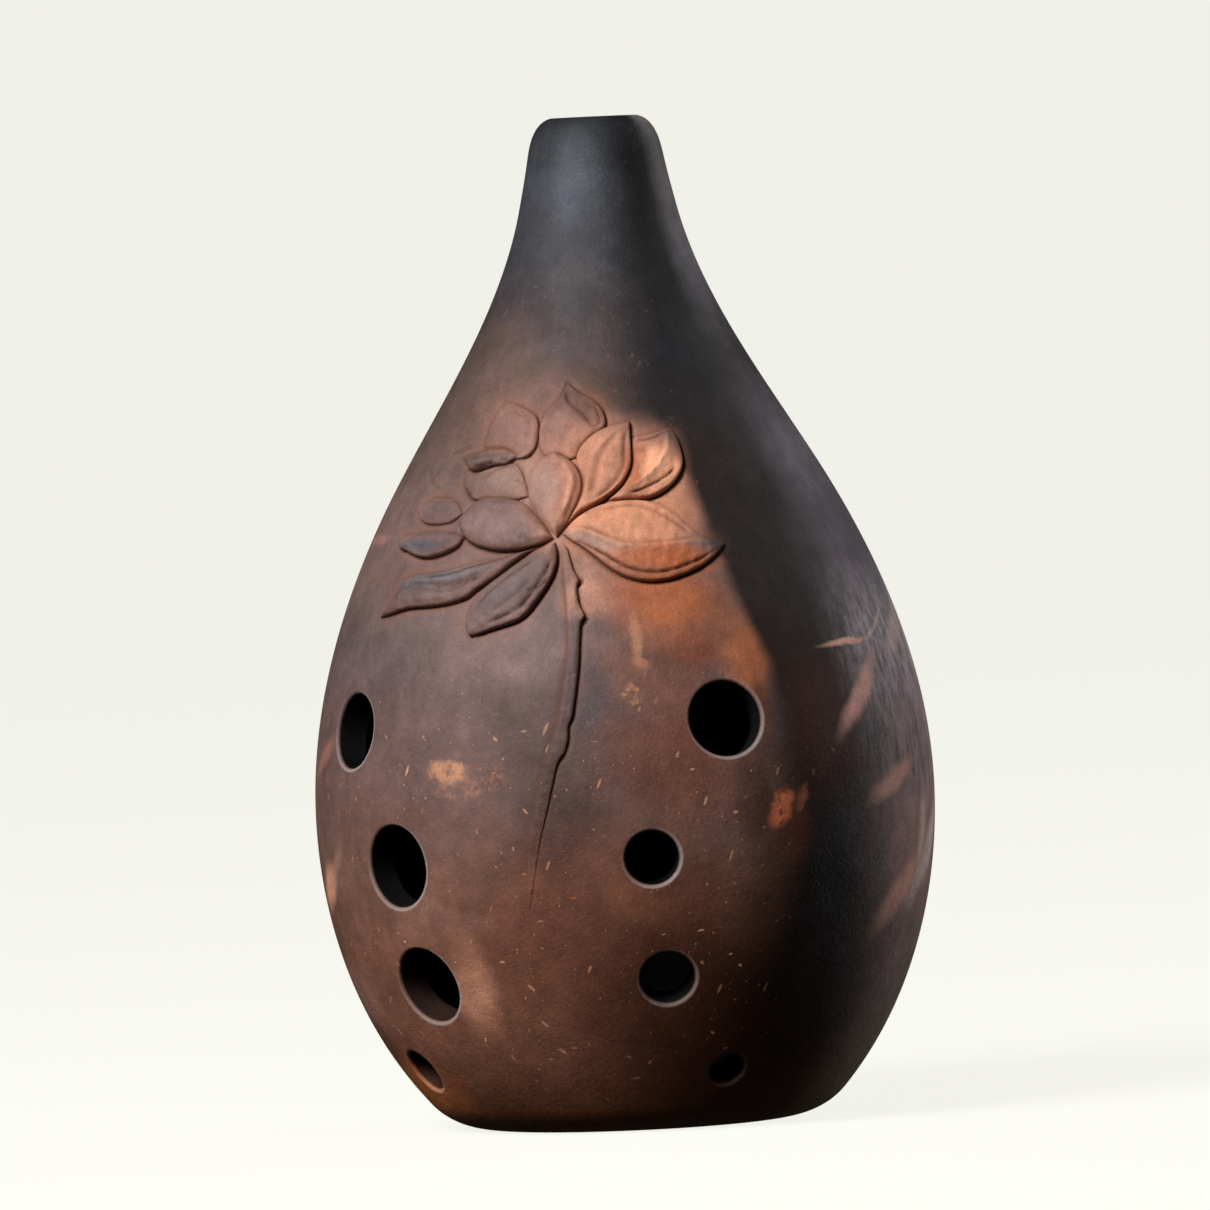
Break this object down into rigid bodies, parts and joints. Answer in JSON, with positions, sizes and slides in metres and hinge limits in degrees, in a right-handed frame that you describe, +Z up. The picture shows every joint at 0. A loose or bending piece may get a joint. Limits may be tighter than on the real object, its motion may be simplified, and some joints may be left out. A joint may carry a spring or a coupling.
{
  "type": "xun",
  "caption": "Pear-shaped fired clay vessel flute with a blow hole in the neck, finger holes in front, thumb holes behind and a laid-on lotus.",
  "frame": {"origin": "centre of the flat foot, on the surface that the xun stands on", "axes": "+Z up along the body's axis, from the foot to the blow hole; -Y to the front, with the finger holes and the lotus; +X to the right as seen from the front"},
  "size_m": [0.085, 0.0858, 0.1378],
  "materials": {
    "front_clay": "burnished, smoke-fired",
    "back_clay": "burnished, smoke-fired",
    "base_clay": "matt, smoke-fired",
    "mouth_clay": "burnished, smoke-fired",
    "stem_clay": "burnished, smoke-fired",
    "petal_clay": "burnished, smoke-fired"
  },
  "bodies": {
    "root": {"front_shell": "front_clay", "back_shell": "back_clay", "base_disc": "base_clay", "mouth_ring": "mouth_clay", "lotus_stem": "stem_clay", "petal_back_centre": "petal_clay", "petal_back_left": "petal_clay", "petal_front_centre": "petal_clay", "petal_front_left": "petal_clay", "petal_left_curled": "petal_clay", "petal_left_inner": "petal_clay", "petal_left_leaf": "petal_clay", "petal_left_small": "petal_clay", "petal_low_drooping": "petal_clay", "petal_low_long": "petal_clay", "petal_right_cupped": "petal_clay", "petal_right_spread": "petal_clay", "petal_right_upright": "petal_clay"}
  },
  "joints": []
}
